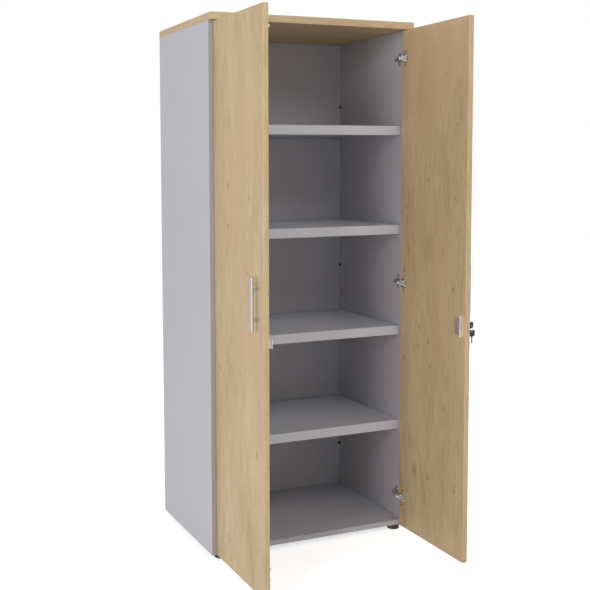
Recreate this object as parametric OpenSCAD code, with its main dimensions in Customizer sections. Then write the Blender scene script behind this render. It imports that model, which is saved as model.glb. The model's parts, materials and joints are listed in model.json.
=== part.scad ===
// Tall office storage cabinet with two hinged doors, four steel shelves and a rim lock.
// Drawn in millimetres, standing on z = 0, with both doors open at a right angle.
// The front of the cabinet faces -Y and its right side is +X.

/* [Carcass] */
// Width over the two side panels
cabinet_w = 800; // [700:10:1000]
// Depth of the side panels
cabinet_d = 505; // [430:5:600]
// Height from the floor to the top face
cabinet_h = 1900; // [1860:10:2000]
// Thickness of the side panels
side_t = 19; // [18:1:22]
// Thickness of the bottom panel
bottom_t = 19; // [18:1:25]
// Thickness of the top panel
top_t = 25; // [22:1:30]
// Thickness of the back panel
back_t = 8; // [5:1:10]
// Distance from the back panel to the rear edge of the sides
back_inset = 10; // [6:1:20]
// Depth of the grooves that hold the back panel
groove_depth = 7; // [5:1:8]
// Play of the back panel in its grooves
groove_play = 0.3; // [0.1:0.1:0.5]

/* [Shelves] */
// Height of the top shelf's upper face above the floor
shelf_1_z = 1528; // [1500:1:1550]
// Height of the second shelf's upper face
shelf_2_z = 1160; // [1130:1:1190]
// Height of the third shelf's upper face
shelf_3_z = 780; // [760:1:800]
// Height of the lowest shelf's upper face
shelf_4_z = 417; // [390:1:440]
// Thickness of the shelf sheet
sheet_t = 1.2; // [0.8:0.1:2]
// Height of the folded front and rear rails
rail_h = 34.5; // [25:0.5:45]
// Width of the rails' inward return
rail_return = 12; // [8:1:20]
// Height of the folded side flanges
flange_h = 18; // [14:1:24]
// Gap between a shelf and each side panel
shelf_side_gap = 1; // [0.5:0.5:3]
// Distance from the carcass front to the shelf front
shelf_setback = 30; // [25:1:60]
// Gap between a shelf and the back panel
shelf_back_gap = 9; // [5:1:20]
// Diameter of the shelf pins
shelf_pin_d = 5; // [4:0.5:6]
// Length of a shelf pin inside the side panel
shelf_pin_in = 10; // [8:1:12]
// Length of a shelf pin under the shelf
shelf_pin_out = 9; // [7:1:12]
// Distance from a shelf's front or rear edge to its pins
shelf_pin_inset = 35; // [25:1:60]

/* [Doors] */
// Thickness of the doors
door_t = 19; // [18:1:22]
// Gap between a closed door and the carcass front
door_gap = 2.5; // [2:0.5:3.5]
// Distance from the side panel's outer face to the closed door's edge
door_reveal = 1; // [0.5:0.5:2]
// Gap between the two closed doors
meeting_gap = 3; // [3:0.5:5]
// Gap between the doors and the top panel
door_top_gap = 3; // [2:0.5:5]
// Distance from the sides' lower edge up to the doors
door_bottom_gap = 1; // [0:0.5:5]
// Radius of the upright edge bands
edge_r = 2; // [1.5:0.5:2.5]

/* [Handles] */
// Length of a handle bar
handle_len = 168; // [140:1:220]
// Diameter of a handle bar
handle_d = 10; // [10:1:14]
// Distance between the two posts of a handle
handle_post_gap = 96; // [64:32:128]
// Diameter of the handle posts
handle_post_d = 8; // [6:1:9]
// Distance from the door face to the bar's axis
handle_off = 22.5; // [20:0.5:35]
// Distance from the door's free edge to the bar's axis
handle_edge = 38; // [30:1:60]
// Height of the handle's middle above the floor
handle_z = 956; // [930:1:1050]
// Length of the threaded stud in the door
handle_stud = 12; // [8:1:14]

/* [Hinges] */
// Distance from the door's top edge to the upper hinge
hinge_top_inset = 100; // [90:1:130]
// Distance from the door's lower edge to the lower hinge
hinge_bottom_inset = 110; // [100:1:130]
// Diameter of the hinge cup
cup_d = 35; // [35:1:36]
// Depth of the hinge cup
cup_depth = 12; // [11.5:0.5:13]
// Wall of the hinge cup
cup_wall = 1; // [0.8:0.1:1.2]
// Distance from the door's edge to the cup's centre
cup_edge = 22.5; // [22:0.5:23.5]
// Distance between the two pilot holes beside a cup
pilot_gap = 52; // [48:1:54]
// Diameter of the pilot holes
pilot_d = 7; // [5:1:8]
// Angle through which the long links turn
link_turn = 45; // [45:1:46]
// Diameter of the hinge pins
hinge_pin_d = 2; // [1.8:0.1:2.2]
// Width of the link bars
link_w = 2.6; // [2.2:0.1:2.8]

/* [Feet] */
// Height of the cabinet's underside above the floor
foot_h = 20; // [18:1:30]
// Diameter of the levelling feet
foot_d = 48; // [40:1:50]
// Distance from the side panel's outer face to a foot's axis
foot_side = 44; // [44:1:60]
// Distance from the bottom panel's front and rear edges to a foot's axis
foot_front = 27.5; // [26:0.5:60]
// Diameter of the levelling screws
foot_screw_d = 8; // [6:1:10]
// Travel of a levelling foot
foot_travel = 10; // [5:1:12]

/* [Lock] */
// Height of the lock's middle above the floor
lock_z = 838; // [815:1:880]
// Distance from the door's free edge to the lock's face plate
lock_edge = 16; // [12:1:20]
// Width of the lock case along the door
lock_w = 25; // [24:1:32]
// Height of the lock case
lock_h = 57; // [50:1:65]
// Depth of the lock case
lock_d = 13; // [12:0.5:16]
// Height of the lock's face plate
faceplate_h = 73; // [70:1:80]
// Thickness of the lock's face plate
faceplate_t = 1.5; // [1:0.5:2]
// Diameter of the lock cylinder
cylinder_d = 16; // [14:1:18]
// Diameter of the plug that the key turns
plug_d = 10; // [9:1:11]
// Travel of the lock bolt
bolt_travel = 8; // [6:1:8]
// Length of the strike's tongue past the left door's edge
strike_reach = 16; // [14:1:18]

/* [Keys] */
// Height and width of a key's plastic head
key_head = 22; // [20:1:24]
// Thickness of a key's plastic head
key_head_t = 4; // [3:0.5:5]
// Distance from the door face to the outer end of the key
key_out = 34; // [32:1:42]
// Outer diameter of the key ring
ring_d = 16; // [15:1:18]

/* [Left door bolts] */
// Diameter of the slide bolts
slide_d = 6; // [5:1:7]
// Length of a slide bolt
slide_len = 70; // [60:1:90]
// Travel of a slide bolt
slide_travel = 12; // [10:1:14]
// Distance from the door's free edge to the slide bolts
slide_edge = 30; // [26:1:40]

/* [Hidden] */
$fn = 48;

// Colours
oak = "#C3AC87";
grey_board = "#B8B8BC";
grey_steel = "#C4C4C8";
zinc = "#B5B5B0";
nickel = "#C9C9CC";
black_plastic = "#1E1E20";
beech = "#D8B98A";

// Clearances
fit = 0.05;        // a fastener in its hole
slide_fit = 0.3;   // a piece that moves beside a fixed one
pin_fit = 0.05;    // a link on its pin
seat = 0.1;        // a loose piece on its seat

// Carcass values
half_w = cabinet_w / 2;
inner_w = cabinet_w - 2 * side_t;
under_top = cabinet_h - top_t;
inner_d = cabinet_d - back_inset - back_t;
floor_z = foot_h + bottom_t;
side_tops = [shelf_1_z, shelf_2_z, shelf_3_z, shelf_4_z];
shelf_w = inner_w - 2 * shelf_side_gap;
shelf_d = inner_d - shelf_setback - shelf_back_gap;
shelf_pin_n = [-shelf_setback - shelf_pin_inset, -shelf_setback - shelf_d + shelf_pin_inset];

// Door values
door_w = (cabinet_w - 2 * door_reveal - meeting_gap) / 2;
door_z0 = foot_h + door_bottom_gap;
door_z1 = under_top - door_top_gap;
overhang = door_gap + door_t;
free_u = door_reveal + door_w;
outer_n = door_gap + door_t;
handle_u = free_u - handle_edge;

// Hinge pins of a closed door: u inboard of the side's outer face, n in front of the carcass
long_arm = [door_reveal + 37, door_gap - 14.3];
long_cup = [door_reveal + 14.5, door_gap + 2.5];
long_elbow = [door_reveal + 28.6, door_gap + 0.6];
short_arm = [door_reveal + 45, door_gap - 3.75];
short_cup = [door_reveal + 20, door_gap + 2.7];
short_elbow = [door_reveal + 29.2, door_gap - 1.1];
hinge_z = [door_z1 - hinge_top_inset, (door_z0 + door_z1) / 2, door_z0 + hinge_bottom_inset];
cup_u = door_reveal + cup_edge;
pin_r = hinge_pin_d / 2;
eye_r = pin_r + 1.2;
slot_r = eye_r + 1.5;
short_z = 2.8;
arm_z = 5.4;
slot_z = 3.05;
long_z = [5.9, 7.9];
cheek_z = [8.4, 14];
flange_t = 1;
plate_t = 2;
spine_t = 3;
plate_n = -37;
plate_screw_z = 16;

// Open door: the long links turn one way while the door turns a right angle the other way
function turn(p, a) = [p[0] * cos(a) - p[1] * sin(a), p[0] * sin(a) + p[1] * cos(a)];
long_cup_open = long_arm + turn(long_cup - long_arm, -link_turn);
short_cup_open = long_cup_open + turn(short_cup - long_cup, 90);
function heading(p, q) = atan2(q[1] - p[1], q[0] - p[0]);
short_turn = heading(short_arm, short_cup) - heading(short_arm, short_cup_open);
open_edge_n = long_cup_open[1] - (long_cup[0] - door_reveal);

// The carcass stands back by as much as centres the open doors and the carcass on y = 0
front_y = (door_w + open_edge_n + strike_reach - cabinet_d) / 2;

// Lock values, measured as on a closed door
face_u = free_u - lock_edge;
case_u = face_u - faceplate_t - lock_w / 2;
case_n = door_gap - lock_d;
bolt_h = 24;
bolt_t = 5;
bolt_n = case_n + 3;
bolt_play = 0.2;
ear = 7;
rosette_d = cylinder_d + 6;
rosette_t = 3;
plug_out = rosette_t + 1;
key_blade_t = 2;
key_blade_w = 6.5;
key_slot = 0.2;
key_in = 15;
blade_in = 4;
key_hole_d = 5;
ring_wire = 1.4;
ring_r = (ring_d - ring_wire) / 2;
head_n = outer_n + key_out - key_head / 2;
hole_n = outer_n + key_out - key_hole_d / 2 - 2;
key_hole_z = lock_z - 4;
ring_inner_r = ring_r - ring_wire / 2;
ring_seat = seat + ring_inner_r - sqrt(pow(ring_inner_r, 2) - pow(key_head_t / 2, 2));
ring_top_z = key_hole_z - key_hole_d / 2 + ring_wire / 2 + ring_seat;
ring_z = ring_top_z - ring_r;
spare_hole_z = ring_z - ring_inner_r + ring_seat - key_hole_d / 2;
spare_head_z = spare_hole_z - key_head / 2 + key_hole_d / 2 + 2;
spare_len = 23;

// Slide bolt values
slide_u = free_u - slide_edge;
slide_n = door_gap - 9;
slide_in = slide_travel - 2;
guide_h = 30;
guide_w = 18;

// Placing helpers, for the left half: u runs inboard, n runs forward
module box(u, n, z) {
    translate([u[0] - half_w, front_y - n[1], z[0]])
        cube([u[1] - u[0], n[1] - n[0], z[1] - z[0]]);
}
module post(p, r, z) {
    translate([p[0] - half_w, front_y - p[1], z[0]]) cylinder(r = r, h = z[1] - z[0]);
}
module along_n(u, z, r, n) {
    translate([u - half_w, front_y - n[0], z]) rotate([90, 0, 0]) cylinder(r = r, h = n[1] - n[0]);
}
module along_u(n, z, r, u) {
    translate([u[0] - half_w, front_y - n, z]) rotate([0, 90, 0]) cylinder(r = r, h = u[1] - u[0]);
}
// A flat bent bar from a over its elbow m to b, w wide
function across(p, q) = [p[1] - q[1], q[0] - p[0]] / norm(q - p);
function mitre(a, m, b) = (across(a, m) + across(m, b)) / (1 + across(a, m) * across(m, b));
module strip(a, m, b, w, z) {
    h = w / 2;
    outline = [a + h * across(a, m), m + h * mitre(a, m, b), b + h * across(m, b),
               b - h * across(m, b), m - h * mitre(a, m, b), a - h * across(a, m)];
    translate([-half_w, front_y, z[0]]) linear_extrude(z[1] - z[0])
        polygon([for (p = outline) [p[0], -p[1]]]);
}
// A bent link with an eye at each end
module link(a, m, b, z) {
    strip(a, m, b, link_w, z);
    post(a, eye_r, z);
    post(b, eye_r, z);
}
module on_right() {
    mirror([1, 0, 0]) children();
}
// The same piece on both sides of the cabinet
module both() {
    children();
    on_right() children();
}
// A mirrored pair above and below a height
module above_below(z0) {
    children();
    translate([0, 0, 2 * z0]) mirror([0, 0, 1]) children();
}
// Turns a piece about an upright pin, forwards as seen on the left half
module swing(p, a) {
    translate([p[0] - half_w, front_y - p[1], 0]) rotate([0, 0, -a])
        translate([half_w - p[0], p[1] - front_y, 0]) children();
}
module open_door() {
    translate([long_cup_open[0] - long_cup[0], long_cup[1] - long_cup_open[1], 0])
        swing(long_cup, 90) children();
}

// Joinery places
cam_r = 7.5;
cam_depth = 12.5;
cam_in = 24;
cam_bolt_in = 11;
cam_bolt_r = 2.5;
dowel_r = 4;
dowel_in = 10;
dowel_out = 20;
cam_n = [-70, -inner_d + 70];
dowel_n = [-125, -inner_d + 125];
bottom_mid = foot_h + bottom_t / 2;
foot_n = [-foot_front, -inner_d + foot_front];

module cam_bolt_holes_side() {
    for (n = cam_n) {
        along_u(n, bottom_mid, cam_bolt_r + fit, [side_t - cam_bolt_in, side_t + 1]);
        along_u(n, under_top - cam_in, cam_r + fit, [side_t - cam_depth, side_t + 1]);
        post([side_t / 2, n], cam_bolt_r + 1 + fit, [under_top - cam_in, under_top + 1]);
    }
    for (n = dowel_n) {
        along_u(n, bottom_mid, dowel_r + fit, [side_t - dowel_in, side_t + 1]);
        post([side_t / 2, n], dowel_r + fit, [under_top - dowel_out, under_top + 1]);
    }
}

module side_panel() {
    color(grey_board) difference() {
        box([0, side_t], [-cabinet_d, 0], [foot_h, under_top]);
        box([side_t - groove_depth, side_t + 1],
            [-inner_d - back_t - groove_play, -inner_d], [foot_h - 1, under_top + 1]);
        for (z = side_tops, n = shelf_pin_n)
            along_u(n, z - sheet_t - seat - shelf_pin_d / 2, shelf_pin_d / 2 + fit,
                    [side_t - shelf_pin_in, side_t + 1]);
        for (z = hinge_z, s = [-1, 1])
            along_u(plate_n, z + s * plate_screw_z, screw_r + fit, [side_t - screw_in, side_t + 1]);
        for (z = clip_z)
            along_u(clip_n, z, clip_r + fit, [side_t - clip_in, side_t + 1]);
        cam_bolt_holes_side();
    }
}

module top_panel() {
    color(oak) difference() {
        translate([-half_w, front_y - overhang, under_top])
            cube([cabinet_w, cabinet_d + overhang, top_t]);
        both() {
            for (n = cam_n)
                post([side_t / 2, n], cam_bolt_r + fit, [under_top - 1, under_top + cam_bolt_in]);
            for (n = dowel_n)
                post([side_t / 2, n], dowel_r + fit, [under_top - 1, under_top + dowel_in]);
        }
        post([slide_u, slide_n], slide_d / 2 + slide_fit, [under_top - 1, under_top + slide_in + 1]);
    }
}

module bottom_panel() {
    color(grey_board) difference() {
        translate([-inner_w / 2, front_y, foot_h]) cube([inner_w, inner_d, bottom_t]);
        both() {
            for (n = cam_n) {
                post([side_t + cam_in, n], cam_r + fit, [foot_h - 1, foot_h + cam_depth]);
                along_u(n, bottom_mid, cam_bolt_r + 1 + fit, [side_t - 1, side_t + cam_in]);
            }
            for (n = dowel_n)
                along_u(n, bottom_mid, dowel_r + fit, [side_t - 1, side_t + dowel_out]);
            for (n = foot_n)
                post([foot_side, n], socket_r + fit, [foot_h - 1, floor_z + 1]);
        }
        post([slide_u, slide_n], slide_d / 2 + slide_fit, [floor_z - slide_in - 1, floor_z + 1]);
    }
}

module back_panel() {
    back_w = inner_w + 2 * groove_depth - 2 * groove_play;
    color(grey_board) translate([-back_w / 2, front_y + inner_d, foot_h])
        cube([back_w, back_t, under_top - foot_h]);
}

// Steel shelf: a tray with folded front and rear rails that files can hang from
module shelf(z) {
    u0 = side_t + shelf_side_gap;
    n1 = -shelf_setback;
    n0 = n1 - shelf_d;
    color(grey_steel) difference() {
        union() {
            box([u0, u0 + shelf_w], [n0, n1], [z - sheet_t, z]);
            for (n = [n0, n1 - sheet_t])
                box([u0, u0 + shelf_w], [n, n + sheet_t], [z - rail_h, z]);
            box([u0, u0 + shelf_w], [n1 - rail_return, n1], [z - rail_h, z - rail_h + sheet_t]);
            box([u0, u0 + shelf_w], [n0, n0 + rail_return], [z - rail_h, z - rail_h + sheet_t]);
            for (u = [u0, u0 + shelf_w - sheet_t])
                box([u, u + sheet_t], [n0, n1], [z - flange_h, z]);
        }
        for (n = shelf_pin_n)
            box([u0 - 1, u0 + shelf_w + 1], [n - shelf_pin_d / 2 - 1, n + shelf_pin_d / 2 + 1],
                [z - flange_h - 1, z - sheet_t]);
    }
}

module shelf_pins() {
    color(nickel) both() for (z = side_tops, n = shelf_pin_n)
        along_u(n, z - sheet_t - seat - shelf_pin_d / 2, shelf_pin_d / 2,
                [side_t - shelf_pin_in, side_t + shelf_pin_out]);
}

// Plastic clips that press the back panel into its grooves
clip_r = 4;
clip_in = 8;
clip_out = 6;
clip_head_r = 5;
clip_rise = 94;
clip_n = -inner_d + clip_head_r + seat;
clip_z = [shelf_1_z + clip_rise, (shelf_2_z + shelf_3_z) / 2, shelf_4_z / 2];
module back_clips() {
    color(black_plastic) both() for (z = clip_z) {
        along_u(clip_n, z, clip_r, [side_t - clip_in, side_t]);
        along_u(clip_n, z, clip_head_r, [side_t, side_t + clip_out]);
    }
}

module cam_locks() {
    slot_w = 2;
    color(zinc) both() for (n = cam_n) {
        difference() {
            post([side_t + cam_in, n], cam_r, [foot_h, foot_h + cam_depth]);
            along_u(n, bottom_mid, cam_bolt_r + 1 + fit, [side_t, side_t + cam_in + 2]);
            box([side_t + cam_in - 5, side_t + cam_in + 5], [n - slot_w / 2, n + slot_w / 2],
                [foot_h - 1, foot_h + 2]);
        }
        difference() {
            along_u(n, under_top - cam_in, cam_r, [side_t - cam_depth, side_t]);
            post([side_t / 2, n], cam_bolt_r + 1 + fit, [under_top - cam_in - 2, under_top]);
            box([side_t - 2, side_t + 1], [n - slot_w / 2, n + slot_w / 2],
                [under_top - cam_in - 5, under_top - cam_in + 5]);
        }
    }
}

module cam_bolts() {
    color(nickel) both() for (n = cam_n) {
        along_u(n, bottom_mid, cam_bolt_r, [side_t - cam_bolt_in, side_t + 1]);
        along_u(n, bottom_mid, cam_bolt_r + 1, [side_t, side_t + cam_in]);
        post([side_t / 2, n], cam_bolt_r, [under_top - 1, under_top + cam_bolt_in]);
        post([side_t / 2, n], cam_bolt_r + 1, [under_top - cam_in, under_top]);
    }
}

module dowels() {
    color(beech) both() for (n = dowel_n) {
        along_u(n, bottom_mid, dowel_r, [side_t - dowel_in, side_t + dowel_out]);
        post([side_t / 2, n], dowel_r, [under_top - dowel_out, under_top + dowel_in]);
    }
}

// Flanged nut in the bottom panel for each levelling foot
socket_r = foot_screw_d / 2 + 2;
socket_flange_r = foot_screw_d / 2 + 8;
socket_flange_t = 2;
module foot_sockets() {
    color(zinc) both() for (n = foot_n) difference() {
        union() {
            post([foot_side, n], socket_r, [foot_h - 1, floor_z - 1]);
            post([foot_side, n], socket_flange_r, [foot_h - socket_flange_t, foot_h]);
        }
        post([foot_side, n], foot_screw_d / 2 + pin_fit, [foot_h - socket_flange_t - 1, floor_z]);
    }
}

// Levelling foot: a domed plastic disc on a screw
foot_round = 5;
foot_disc_h = foot_h - socket_flange_t;
foot_screw_h = foot_travel + 6;
module foot(n) {
    r = foot_d / 2;
    color(black_plastic) translate([foot_side - half_w, front_y - n, 0]) {
        cylinder(r = r - foot_round, h = foot_disc_h);
        translate([0, 0, foot_round]) cylinder(r = r, h = foot_disc_h - 2 * foot_round);
        for (z = [foot_round, foot_disc_h - foot_round])
            translate([0, 0, z]) rotate_extrude()
                translate([r - foot_round, 0]) intersection() {
                    circle(r = foot_round);
                    translate([-1, -foot_round]) square([foot_round + 1, 2 * foot_round]);
                }
        cylinder(r = foot_screw_d / 2, h = foot_h + foot_screw_h);
    }
}

// Screws
screw_r = 1.9;
screw_in = 11;
screw_head_r = 3.6;
screw_head_t = 1.6;

module hinge_plate(z) {
    wing = 24;
    color(nickel) difference() {
        union() {
            box([side_t, side_t + plate_t], [plate_n - 8, plate_n + 8], [z - wing, z + wing]);
            box([side_t, side_t + spine_t], [plate_n - 22, plate_n + 20], [z - 8, z + 8]);
        }
        for (s = [-1, 1])
            along_u(plate_n, z + s * plate_screw_z, screw_r + fit, [side_t - 1, side_t + spine_t + 1]);
    }
}

module hinge_plate_screws() {
    color(zinc) both() for (z = hinge_z, s = [-1, 1]) {
        along_u(plate_n, z + s * plate_screw_z, screw_r, [side_t - screw_in + 1, side_t + plate_t + 0.5]);
        along_u(plate_n, z + s * plate_screw_z, screw_head_r,
                [side_t + plate_t, side_t + plate_t + screw_head_t]);
    }
}

// Fixed hinge arm: a channel on the plate, with a fork that holds the two link pins
arm_root = [door_reveal + 29, door_gap - 17.5];
module hinge_arm(z) {
    w = 2 * eye_r - 0.2;
    base_u = side_t + spine_t;
    span = [z - arm_z, z + arm_z];
    color(nickel) difference() {
        union() {
            box([base_u, base_u + 8], [plate_n - 21, arm_root[1] - 4], span);
            box([base_u, arm_root[0] + w / 2], [arm_root[1] - 12, arm_root[1]], span);
            strip(arm_root - [0, w / 2], long_arm, short_arm, w, span);
            for (p = [long_arm, short_arm]) post(p, eye_r + 0.2, span);
        }
        post(long_arm, pin_r + fit / 2, [z - 10, z + 10]);
        post(short_arm, pin_r + fit / 2, [z - 10, z + 10]);
        post(short_arm, slot_r, [z - slot_z, z + slot_z]);
        box([base_u + 1.5, base_u + 6.5], [plate_n - 22, plate_n + 6], [z - arm_z + 1.5, z + arm_z - 1.5]);
        box([base_u + 3, base_u + 9], [plate_n - 16, plate_n - 8], [z - 2.5, z + 2.5]);
    }
}

module arm_pins() {
    color(zinc) both() for (z = hinge_z) {
        post(long_arm, pin_r, [z - long_z[1] - 0.4, z + long_z[1] + 0.4]);
        post(short_arm, pin_r, [z - arm_z, z + arm_z]);
    }
}

// Long links: a pair of bent bars beside the arm, drawn open
module long_links() {
    color(zinc) swing(long_arm, -link_turn) for (z = hinge_z) above_below(z) difference() {
        span = [z + long_z[0], z + long_z[1]];
        link(long_arm, long_elbow, long_cup, span);
        post(long_arm, pin_r + pin_fit, [z, z + 10]);
        post(long_cup, pin_r + pin_fit, [z, z + 10]);
    }
}

// Short links: one bar in the fork, with its own cup pin, drawn open
module short_links() {
    color(zinc) swing(short_arm, -short_turn) for (z = hinge_z) {
        difference() {
            link(short_arm, short_elbow, short_cup, [z - short_z, z + short_z]);
            post(short_arm, pin_r + pin_fit, [z - 10, z + 10]);
        }
        post(short_cup, pin_r, [z - arm_z, z + arm_z]);
    }
}

// Hinge cup: a dish knocked into the door, with a round flange and two pin cheeks
cup_rim = 1.5;
module hinge_cup(z) {
    r = cup_d / 2;
    hole_r = r - cup_wall;
    color(nickel) open_door() difference() {
        union() {
            along_n(cup_u, z, r, [door_gap, door_gap + cup_depth]);
            along_n(cup_u, z, r + cup_rim, [door_gap - flange_t, door_gap]);
        }
        difference() {
            along_n(cup_u, z, hole_r, [door_gap - flange_t - 1, door_gap + cup_depth - cup_wall]);
            above_below(z)
                box([long_cup[0] - 3.5, long_cup[0] + 2.6], [door_gap + 0.2, door_gap + cup_depth],
                    [z + cheek_z[0], z + cheek_z[1] + 3]);
        }
        post(long_cup, pin_r + fit / 2, [z - cheek_z[1], z + cheek_z[1]]);
    }
}

module cup_pins() {
    color(zinc) open_door() for (z = hinge_z) above_below(z)
        post(long_cup, pin_r, [z + long_z[0] - 0.3, z + cheek_z[1]]);
}

// A countersunk-size wood screw in a door's inner face, on a plate of the given thickness
module door_screw(u, z, plate) {
    along_n(u, z, screw_r, [door_gap - plate - 0.5, door_gap + screw_in]);
    along_n(u, z, screw_head_r, [door_gap - plate - screw_head_t, door_gap - plate]);
}

strike_t = 1.5;
strike_h = 30;
strike_w = 26;
strike_screw_z = 8;
strike_step = 2;
guide_t = 2;
guide_screw_w = 12;
slide_z = [door_z1 - 6 - guide_h / 2, floor_z + 8 + guide_h / 2];
module left_screws() {
    for (s = [-1, 1])
        door_screw(free_u - strike_w / 2, lock_z + s * strike_screw_z, strike_t);
    for (z = slide_z, s = [-1, 1])
        door_screw(slide_u + s * guide_screw_w, z, guide_t);
}

// Door board with rounded upright edges, its cup bores with their pilot holes, and its stud holes
pilot_in = 11;
module door_board() {
    w = [door_reveal, free_u];
    n = [door_gap, outer_n];
    z = [door_z0, door_z1];
    difference() {
        union() {
            box([w[0] + edge_r, w[1] - edge_r], n, z);
            box(w, [n[0] + edge_r, n[1] - edge_r], z);
            for (u = [w[0] + edge_r, w[1] - edge_r], v = [n[0] + edge_r, n[1] - edge_r])
                post([u, v], edge_r, z);
        }
        for (z = hinge_z) {
            along_n(cup_u, z, cup_d / 2 + fit, [door_gap - 1, door_gap + cup_depth]);
            for (s = [-1, 1])
                along_n(cup_u, z + s * pilot_gap / 2, pilot_d / 2, [door_gap - 1, door_gap + pilot_in]);
        }
        for (s = [-1, 1])
            along_n(handle_u, handle_z + s * handle_post_gap / 2, stud_r + fit,
                    [outer_n - handle_stud, outer_n + 1]);
    }
}

module door_left() {
    color(oak) open_door() difference() {
        door_board();
        for (s = [-1, 1])
            along_n(free_u - strike_w / 2, lock_z + s * strike_screw_z, screw_r + fit,
                    [door_gap - 1, door_gap + screw_in]);
        for (z = slide_z, s = [-1, 1])
            along_n(slide_u + s * guide_screw_w, z, screw_r + fit, [door_gap - 1, door_gap + screw_in]);
    }
}

module door_right() {
    color(oak) on_right() open_door() difference() {
        door_board();
        along_n(case_u, lock_z, cylinder_d / 2 + fit, [door_gap - 1, outer_n + 1]);
    }
}

stud_r = 2.5;
bar_chamfer = 0.8;
module handle() {
    r = handle_d / 2;
    bar_n = outer_n + handle_off;
    color(nickel) open_door() {
        translate([handle_u - half_w, front_y - bar_n, handle_z - handle_len / 2]) rotate_extrude()
            polygon([[0, 0], [r - bar_chamfer, 0], [r, bar_chamfer], [r, handle_len - bar_chamfer],
                     [r - bar_chamfer, handle_len], [0, handle_len]]);
        for (s = [-1, 1]) {
            along_n(handle_u, handle_z + s * handle_post_gap / 2, handle_post_d / 2, [outer_n, bar_n]);
            along_n(handle_u, handle_z + s * handle_post_gap / 2, stud_r,
                    [outer_n - handle_stud + 1, outer_n + 1]);
        }
    }
}

// Rim lock on the inner face of the right door
case_span = [case_u - lock_w / 2, case_u + lock_w / 2];
module lock_case() {
    color(zinc) on_right() open_door() difference() {
        union() {
            box(case_span, [case_n, door_gap], [lock_z - lock_h / 2, lock_z + lock_h / 2]);
            box([case_span[1] - ear, case_span[1]], [door_gap - ear - 1, door_gap],
                [lock_z - faceplate_h / 2 + 1, lock_z + faceplate_h / 2 - 1]);
        }
        box([case_u - bolt_travel - seat, case_span[1] + 1],
            [bolt_n - bolt_play, bolt_n + bolt_t + bolt_play],
            [lock_z - bolt_h / 2 - bolt_play, lock_z + bolt_h / 2 + bolt_play]);
        along_n(case_u, lock_z, cylinder_d / 2 + fit, [bolt_n + bolt_t + 1.2, door_gap + 1]);
        along_n(case_u, lock_z, plug_d / 2 + slide_fit, [bolt_n + 1, door_gap + 1]);
        for (s = [-1, 1])
            along_u(door_gap - ear / 2 - 1, lock_z + s * face_screw_z, screw_r + fit,
                    [case_span[1] - 5, case_span[1] + 1]);
    }
}

face_screw_z = (faceplate_h - ear) / 2;
module lock_faceplate() {
    round_r = 3;
    color(nickel) on_right() open_door() difference() {
        union() {
            box([face_u - faceplate_t, face_u], [case_n, door_gap],
                [lock_z - faceplate_h / 2 + round_r, lock_z + faceplate_h / 2 - round_r]);
            box([face_u - faceplate_t, face_u], [case_n + round_r, door_gap - round_r],
                [lock_z - faceplate_h / 2, lock_z + faceplate_h / 2]);
            for (n = [case_n + round_r, door_gap - round_r], s = [-1, 1])
                along_u(n, lock_z + s * (faceplate_h / 2 - round_r), round_r,
                        [face_u - faceplate_t, face_u]);
        }
        box([face_u - faceplate_t - 1, face_u + 1], [bolt_n - bolt_play, bolt_n + bolt_t + bolt_play],
            [lock_z - bolt_h / 2 - bolt_play, lock_z + bolt_h / 2 + bolt_play]);
        for (s = [-1, 1])
            along_u(door_gap - ear / 2 - 1, lock_z + s * face_screw_z, screw_r + fit,
                    [face_u - faceplate_t - 1, face_u + 1]);
    }
}
module face_screws() {
    for (s = [-1, 1]) {
        along_u(door_gap - ear / 2 - 1, lock_z + s * face_screw_z, screw_r,
                [case_span[1] - 4, face_u + 0.5]);
        along_u(door_gap - ear / 2 - 1, lock_z + s * face_screw_z, screw_head_r - 0.8,
                [face_u, face_u + 1]);
    }
}

module lock_cylinder() {
    color(nickel) on_right() open_door() difference() {
        union() {
            along_n(case_u, lock_z, cylinder_d / 2, [bolt_n + bolt_t + 1.4, outer_n]);
            along_n(case_u, lock_z, rosette_d / 2, [outer_n, outer_n + rosette_t]);
        }
        along_n(case_u, lock_z, plug_d / 2 + pin_fit, [case_n, outer_n + rosette_t + 1]);
    }
}

// The plug turns in the cylinder, and its tail pin drives the bolt
tail_r = 1.5;
tail_off = 3;
module lock_plug() {
    color(nickel) on_right() open_door() {
        difference() {
            along_n(case_u, lock_z, plug_d / 2, [bolt_n + bolt_t + 0.5, outer_n + plug_out]);
            box([case_u - key_blade_t / 2 - key_slot, case_u + key_blade_t / 2 + key_slot],
                [outer_n + plug_out - key_in - key_slot, outer_n + plug_out + 1],
                [lock_z - key_blade_w / 2 - key_slot, lock_z + key_blade_w / 2 + key_slot]);
        }
        along_n(case_u, lock_z + tail_off, tail_r, [bolt_n + 1.2, bolt_n + bolt_t + 1]);
    }
}

// The bolt slides out through the face plate; its slot clears the plug's tail pin
module lock_bolt() {
    back = case_u - bolt_travel;
    color(zinc) on_right() open_door() difference() {
        box([back, face_u - 0.2], [bolt_n, bolt_n + bolt_t],
            [lock_z - bolt_h / 2, lock_z + bolt_h / 2]);
        box([back - 1, case_u + tail_r + slide_fit + 3],
            [bolt_n + 1 - slide_fit, bolt_n + bolt_t + 1],
            [lock_z - tail_off - tail_r - slide_fit, lock_z + tail_off + tail_r + slide_fit]);
    }
}

module key_blade() {
    color(nickel) on_right() open_door()
        box([case_u - key_blade_t / 2, case_u + key_blade_t / 2],
            [outer_n + plug_out - key_in, head_n - key_head / 2 + blade_in],
            [lock_z - key_blade_w / 2, lock_z + key_blade_w / 2]);
}

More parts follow.
